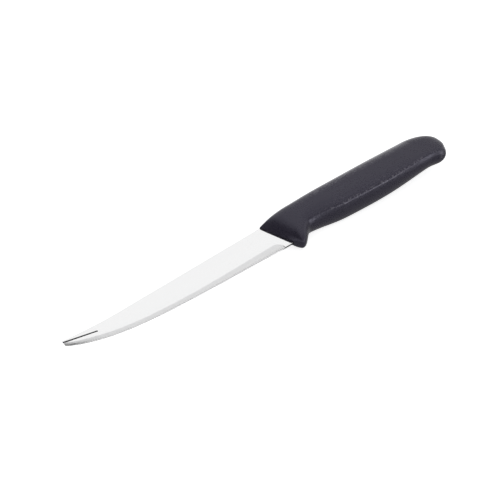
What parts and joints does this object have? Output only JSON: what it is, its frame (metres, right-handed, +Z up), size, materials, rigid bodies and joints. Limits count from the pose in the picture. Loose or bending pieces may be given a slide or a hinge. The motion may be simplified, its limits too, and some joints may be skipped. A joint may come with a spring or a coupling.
{
  "type": "serrated bar knife",
  "caption": "Bar knife with a slim serrated steel blade, a forked tip for serving slices, and a moulded black handle with a finger guard.",
  "frame": {"origin": "centre of the bounding box in plan, at the level the knife lies on", "axes": "+X from the tip to the handle's butt, -Y the cutting edge, +Z up out of the blade's left face, with the knife lying on its right side"},
  "size_m": [0.2414, 0.0274, 0.0169],
  "materials": {
    "stainless_steel": "satin polished flats, finely ground serrated bevel",
    "moulded_plastic": "near-black polypropylene with a fine moulded grain"
  },
  "bodies": {
    "root": {"blade": "stainless_steel", "handle": "moulded_plastic"}
  },
  "joints": []
}
